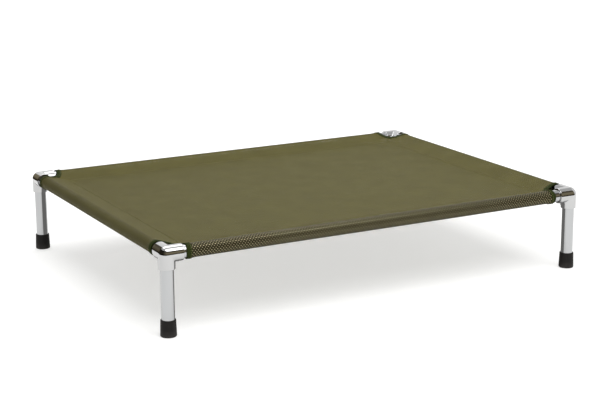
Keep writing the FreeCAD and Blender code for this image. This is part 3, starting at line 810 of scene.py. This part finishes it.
# Matt white paper: it takes soft shadows and shows no shine. Away from the bed it glows more,
# so that it runs into the white behind with no edge.
sweep_paper, tree, shader = new_material("sweep_paper", "#C4C4C3", Roughness=0.9)
shader.inputs["Emission Color"].default_value = linear("#FFFFFF")
place = add_node(tree, "TexCoord").outputs["Object"]
from_bed = add_node(tree, "VectorMath", {"operation": "LENGTH"}, {0: place}).outputs["Value"]
lit = add_node(tree, "MapRange", {"From Min": 1.0, "From Max": 2.5, "To Min": 0.5, "To Max": 0.95},
               {"Value": from_bed})
tree.links.new(lit.outputs["Result"], shader.inputs["Emission Strength"])
bpy.ops.mesh.primitive_plane_add(size=SWEEP)
floor = bpy.context.object
floor.name = "floor"
floor.data.materials.append(sweep_paper)

# The unlit room, as chrome shows it: nearly black by the floor, brown grey higher up, and
# darkest on the left.
dark_room, tree, glow = glowing_material("dark_room", "#554F44")
place = add_node(tree, "TexCoord").outputs["Object"]
spread = add_node(tree, "SeparateXYZ", links={"Vector": place})
room = add_node(tree, "ValToRGB", links={"Fac": spread.outputs["Z"]})
room.color_ramp.elements[0].position = 0.02
room.color_ramp.elements[0].color = linear("#0A0700")
room.color_ramp.elements[1].position = 0.98
room.color_ramp.elements[1].color = linear("#554F44")
for position, colour in ((0.16, "#4A4030"), (0.3, "#8A8068"), (0.6, "#968D76"), (0.8, "#7A725F")):
    room.color_ramp.elements.new(position).color = linear(colour)
dim = add_node(tree, "MapRange", {"From Min": -1.35, "From Max": -0.8, "To Min": 0.1, "To Max": 1.0},
               {"Value": spread.outputs["X"]})
tree.links.new(room.outputs["Color"], glow.inputs["Color"])
tree.links.new(dim.outputs["Result"], glow.inputs["Strength"])
# The white backdrop, as chrome shows it: an even bright white.
lit_backdrop = glowing_material("lit_backdrop", "#FFFFFF", 1.15)[0]
bpy.ops.mesh.primitive_cylinder_add(vertices=SCREEN_FACES, radius=SCREEN_RADIUS,
                                    depth=SCREEN_HEIGHT, location=(0, 0, SCREEN_HEIGHT / 2),
                                    end_fill_type="NOTHING")
screen = bpy.context.object
screen.name = "dark_screen"
bpy.ops.object.transform_apply(location=True, rotation=True, scale=True)
for polygon in screen.data.polygons:
    if polygon.center.xy.normalized().dot(LIT_SIDE) > LIT_SHARE:
        polygon.material_index = 1
screen.data.materials.append(dark_room)
screen.data.materials.append(lit_backdrop)

# A glowing grey card on the floor under the bed that only reflections see: painted shade, standing in
# for the shadowed floor that the polished legs mirror on their inner sides as an even mid grey.
bpy.ops.mesh.primitive_plane_add(size=1, location=(0, 0, CARD_LIFT))
floor_shade_card = bpy.context.object
floor_shade_card.name = "painted_floor_shade"
floor_shade_card.scale = (LENGTH, WIDTH, 1)
bpy.ops.object.transform_apply(location=True, rotation=True, scale=True)
floor_shade_card.data.materials.append(glowing_material("painted_floor_shade", "#8E8D8B")[0])

for thing in (screen, floor_shade_card):
    thing.visible_camera = False
    thing.visible_diffuse = False
    thing.visible_shadow = False
    thing.visible_transmission = False

world = bpy.data.worlds.new("studio")
world.use_nodes = True
world.node_tree.nodes["Background"].inputs["Color"].default_value = linear("#FFFFFF")
world.node_tree.nodes["Background"].inputs["Strength"].default_value = ROOM_LIGHT
bpy.context.scene.world = world

for name, near_y, far_y, brightness in SOFTBOXES:
    lamp = bpy.data.lights.new(name, "AREA")
    lamp.shape = "RECTANGLE"
    lamp.size, lamp.size_y = SOFTBOX_LENGTH, far_y - near_y
    lamp.energy = brightness * math.pi * lamp.size * lamp.size_y
    softbox = bpy.data.objects.new(name, lamp)
    softbox.location = (SOFTBOX_X, (near_y + far_y) / 2, SOFTBOX_HEIGHT)
    bpy.context.scene.collection.objects.link(softbox)

# Camera: three quarter view from the front left, with a long lens.
CAMERA_AT = (-1.5463, -2.8748, 0.9433)
CAMERA_TURN, CAMERA_UP, CAMERA_TIPPED = -28.36, 90 - 14.04, -0.34    # degrees
camera_data = bpy.data.cameras.new("camera")
camera_data.lens = 94.1
camera_data.sensor_width = 36
camera_data.clip_end = 100
camera = bpy.data.objects.new("camera", camera_data)
camera.matrix_world = (Matrix.Translation(CAMERA_AT)
                       @ Matrix.Rotation(math.radians(CAMERA_TURN), 4, "Z")
                       @ Matrix.Rotation(math.radians(CAMERA_UP), 4, "X")
                       @ Matrix.Rotation(math.radians(CAMERA_TIPPED), 4, "Z"))
bpy.context.scene.collection.objects.link(camera)
bpy.context.scene.camera = camera
bpy.context.scene.view_settings.view_transform = "Standard"
